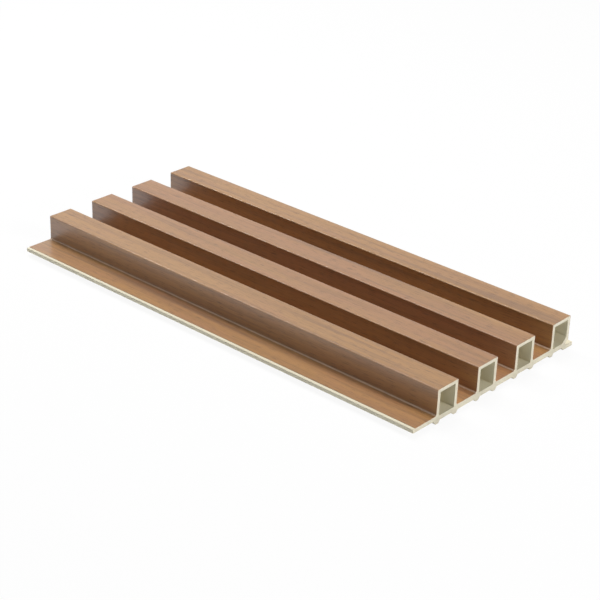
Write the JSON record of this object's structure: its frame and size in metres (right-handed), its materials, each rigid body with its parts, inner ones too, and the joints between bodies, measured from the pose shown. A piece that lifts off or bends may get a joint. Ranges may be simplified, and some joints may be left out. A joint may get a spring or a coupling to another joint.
{
  "type": "wood plastic composite wall panel",
  "caption": "Slatted wall panel: a hollow-rib composite extrusion under a wood-grain film, with a bare tongue along one edge and a slot over a fixing lip along the other.",
  "frame": {"origin": "middle of the panel's length and overall width, at the level of the back feet that it lies on", "axes": "+Y along the extrusion, +X across the panel from the tongue to the lip, +Z out of the show face"},
  "size_m": [0.1676, 0.355, 0.024],
  "materials": {
    "composite": "matt extruded skin with sawn ends, cream wood flour composite",
    "film": "satin laminated film printed with brown wood grain along the panel"
  },
  "bodies": {
    "root": {"core_profile": "composite", "wood_grain_film": "film"}
  },
  "joints": []
}
